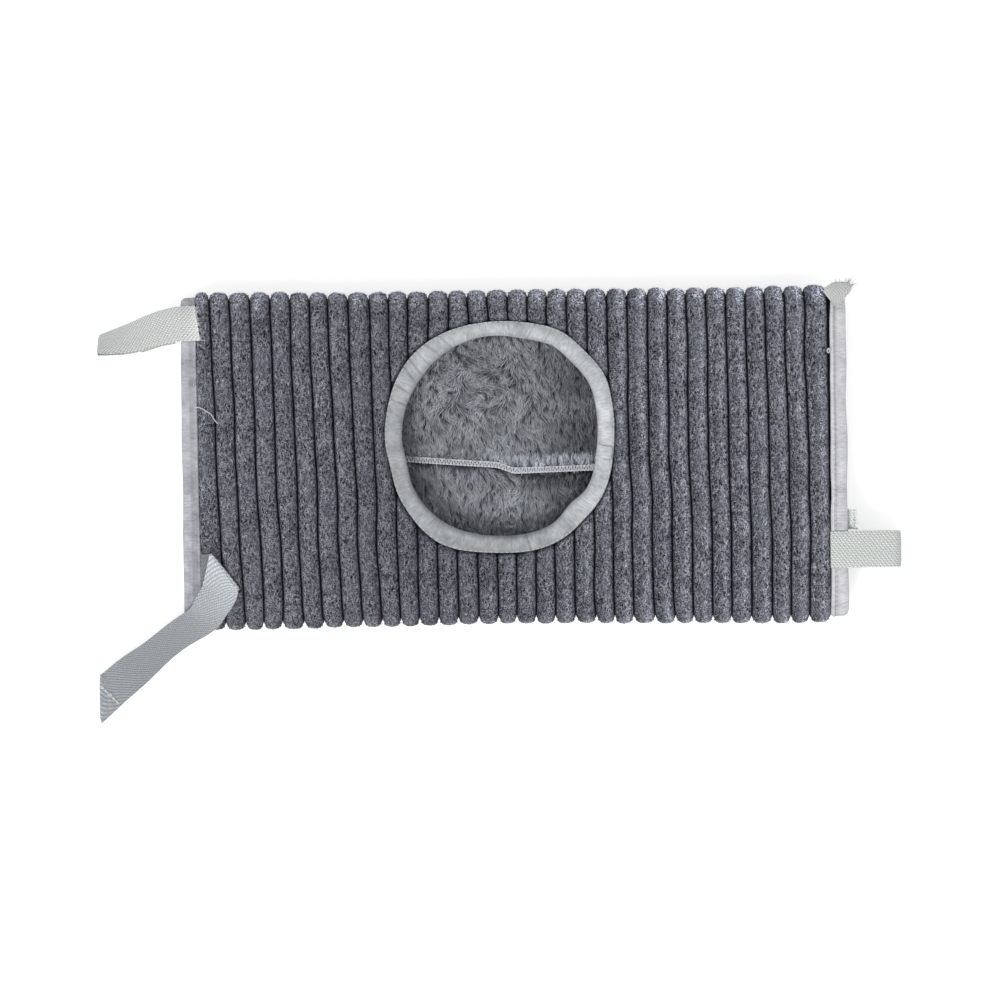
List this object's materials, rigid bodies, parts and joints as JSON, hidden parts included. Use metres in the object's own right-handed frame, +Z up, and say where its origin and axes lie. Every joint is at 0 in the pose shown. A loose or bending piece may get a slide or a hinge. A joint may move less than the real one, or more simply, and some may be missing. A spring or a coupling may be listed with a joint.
{
  "type": "pet hammock",
  "caption": "Ribbed plush tunnel, laid flat, with a bound round entrance on top, bound open mouths and webbing straps at its corners, for hanging in a small pet's cage.",
  "frame": {"origin": "on the floor plane, under the middle of the whole part's box, straps included", "axes": "+X along the tunnel to its right mouth, +Y across it to its top left and top right straps, +Z up through the round entrance"},
  "size_m": [0.443, 0.2392, 0.0397],
  "materials": {
    "plush_blue_grey": "wide-wale plush pile",
    "lining_grey": "fluffy plush pile",
    "tape_lilac_grey": "matt woven tape",
    "thread_white": "sewing thread",
    "webbing_pale": "twill webbing"
  },
  "bodies": {
    "tunnel": {"ribbed_shell": "plush_blue_grey", "plush_lining": "lining_grey", "wall_seam": "lining_grey", "overlock_thread": "thread_white", "hole_binding": "tape_lilac_grey", "hole_binding_join": "tape_lilac_grey", "hole_stitching": "thread_white", "left_end_binding": "tape_lilac_grey", "left_end_stitching": "thread_white", "right_end_binding": "tape_lilac_grey", "right_end_stitching": "thread_white", "strap_root_top_left": "webbing_pale", "strap_root_top_right": "webbing_pale", "strap_root_bottom_left": "webbing_pale", "strap_root_bottom_right": "webbing_pale", "strap_tail_bottom_right": "webbing_pale"},
    "top_left_strap": {"strap_top_left": "webbing_pale"},
    "top_right_strap": {"strap_top_right": "webbing_pale"},
    "bottom_left_strap": {"strap_bottom_left": "webbing_pale", "strap_hem_stitching": "thread_white"},
    "bottom_right_strap": {"strap_bottom_right": "webbing_pale"}
  },
  "joints": [
    {"name": "top_left_swing", "type": "hinge", "parent": "tunnel", "child": "top_left_strap", "pos_m": [-0.17228, 0.09993, 0.03112], "axis": [0, 0.9877, -0.1567], "range_deg": [0, 90]},
    {"name": "top_right_swing", "type": "hinge", "parent": "tunnel", "child": "top_right_strap", "pos_m": [0.18681, 0.11261, 0.03037], "axis": [1, 0, -0.0092], "range_deg": [0, 165]},
    {"name": "bottom_left_swing", "type": "hinge", "parent": "tunnel", "child": "bottom_left_strap", "pos_m": [-0.15098, -0.03704, 0.03757], "axis": [-0.6101, 0.7923, 0], "range_deg": [0, 150]},
    {"name": "bottom_right_swing", "type": "hinge", "parent": "tunnel", "child": "bottom_right_strap", "pos_m": [0.19152, -0.02884, 0.03264], "axis": [0, -1, 0], "range_deg": [0, 120]}
  ]
}
